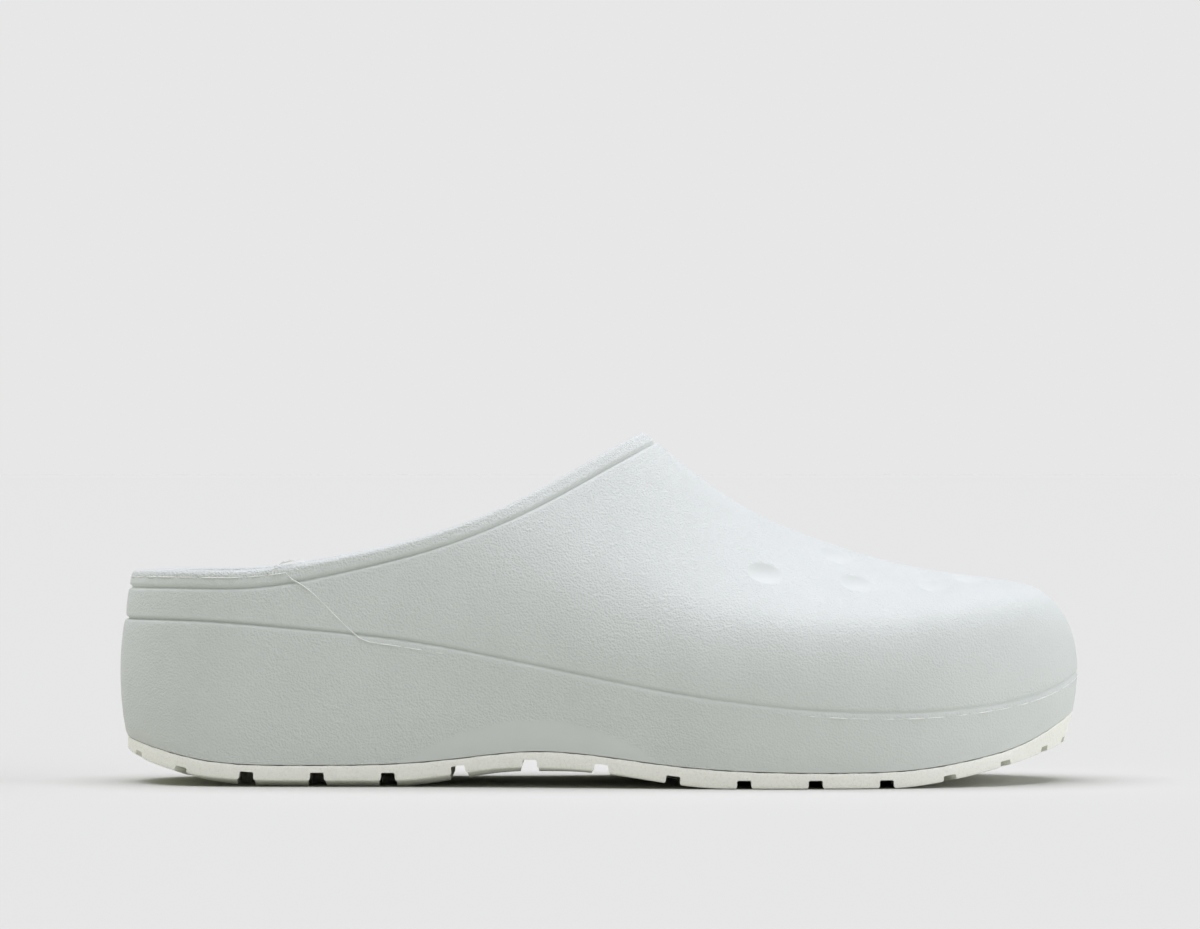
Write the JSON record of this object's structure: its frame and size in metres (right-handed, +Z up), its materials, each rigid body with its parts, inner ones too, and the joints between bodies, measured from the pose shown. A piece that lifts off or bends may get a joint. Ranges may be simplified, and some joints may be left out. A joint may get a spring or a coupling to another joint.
{
  "type": "foam clog",
  "caption": "Slip-on foam clog for the right foot: rounded closed toe with blind dimples, open heel with a low collar rim, thick moulded midsole, grooved rubber outsole and plain insole.",
  "frame": {"origin": "Under the middle of the shoe: the middle of its length and width, on the floor plane under the sole", "axes": "+X from heel to toe, +Y to the medial side, +Z up"},
  "size_m": [0.29, 0.1058, 0.1055],
  "materials": {
    "foam": "closed-cell moulded foam, fine pebbled grain, matte",
    "footbed_foam": "soft matte foam footbed",
    "rubber": "matte speckled cream rubber"
  },
  "bodies": {
    "root": {"upper_and_midsole": "foam", "insole": "footbed_foam", "outsole": "rubber"}
  },
  "joints": []
}
